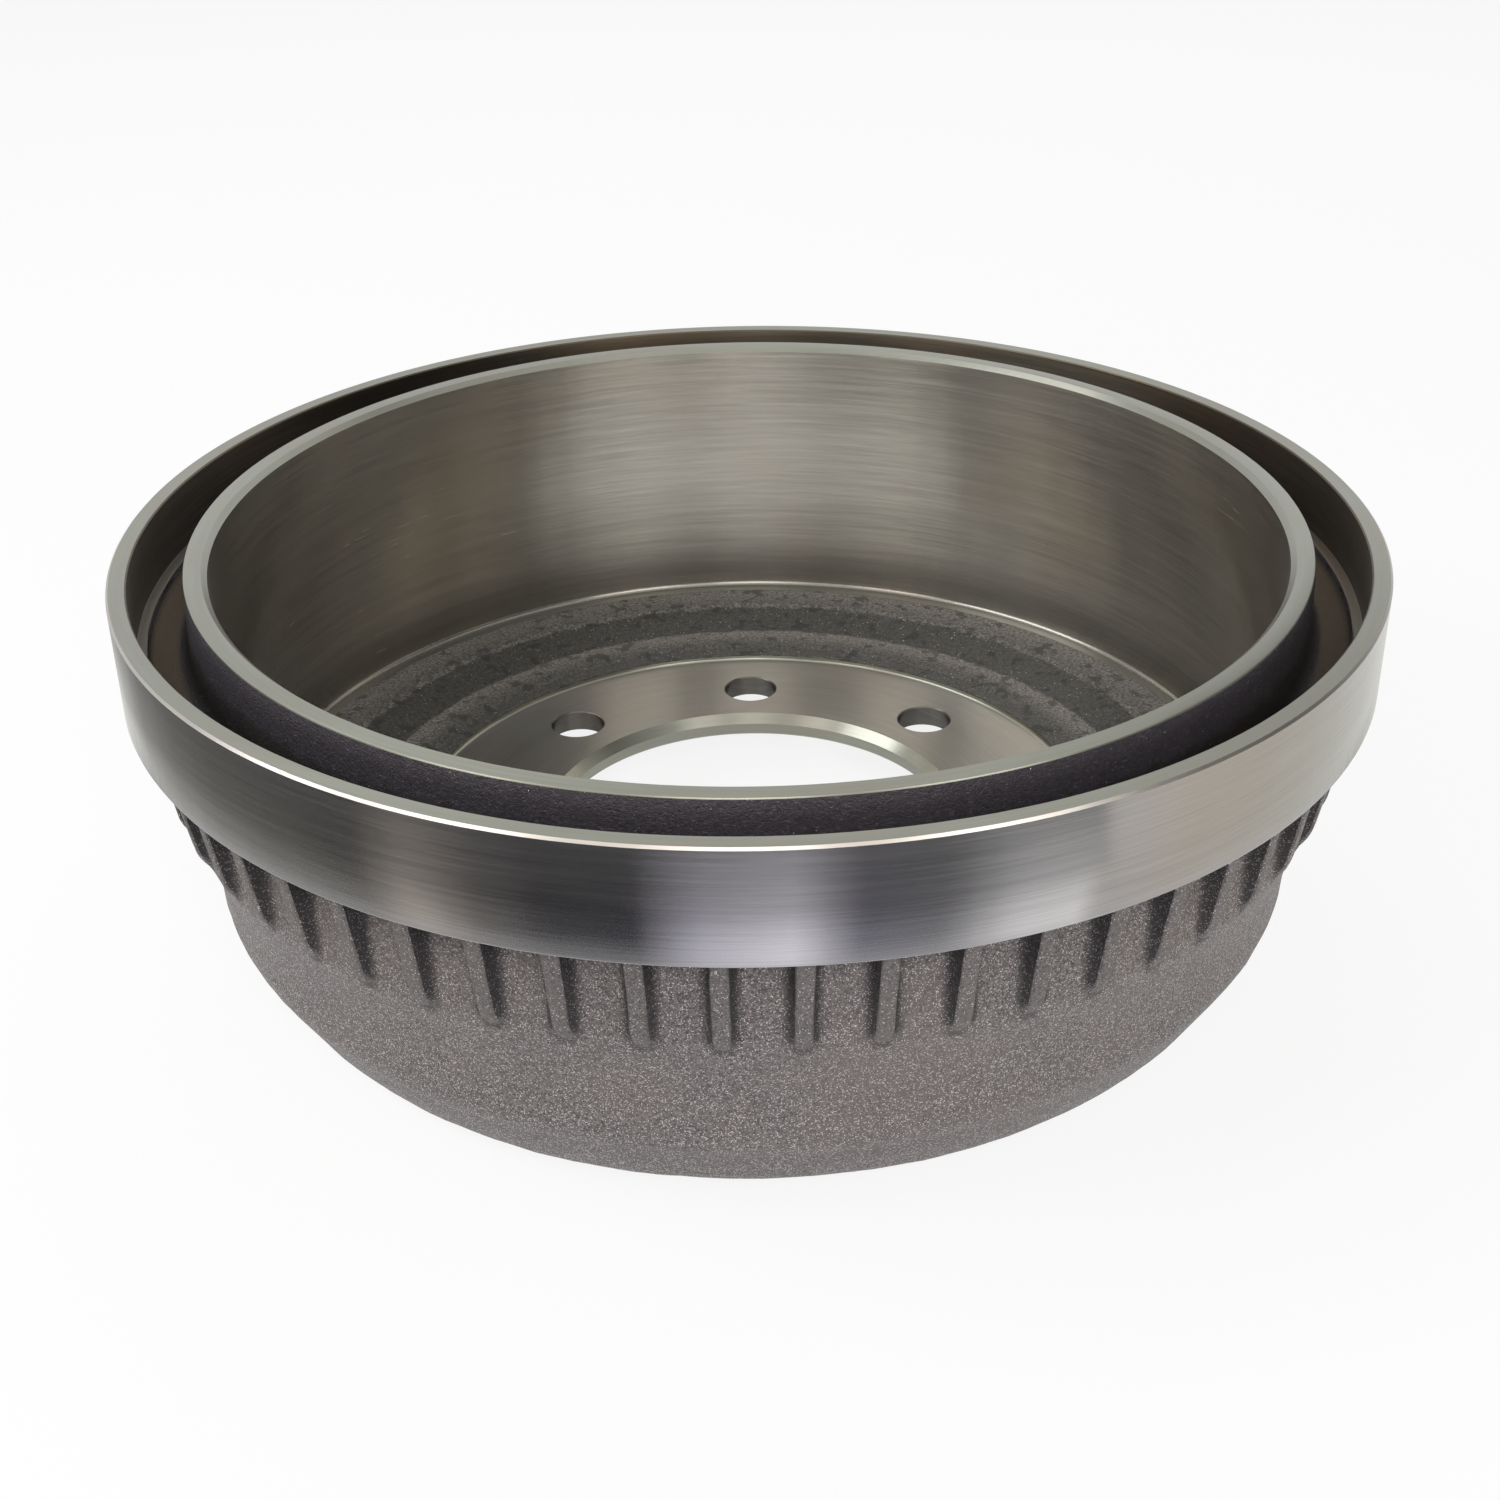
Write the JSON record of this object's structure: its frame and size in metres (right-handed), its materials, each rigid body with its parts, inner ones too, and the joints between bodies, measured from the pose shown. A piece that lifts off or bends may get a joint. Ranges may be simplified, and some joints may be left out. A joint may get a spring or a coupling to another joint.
{
  "type": "brake drum",
  "caption": "Ribbed cast-iron truck brake drum with a double rim, turned shoe path and a flat mounting flange with a ring of bolt holes.",
  "frame": {"origin": "centre of the foot ring, on the plane the drum stands on", "axes": "+Z along the drum's axis towards the open side; +Y through one bolt hole"},
  "size_m": [0.3623, 0.3624, 0.126],
  "materials": {
    "cast_iron": "as cast outside, turned on the rims, shoe path and flange"
  },
  "bodies": {
    "root": {"brake_drum": "cast_iron"}
  },
  "joints": []
}
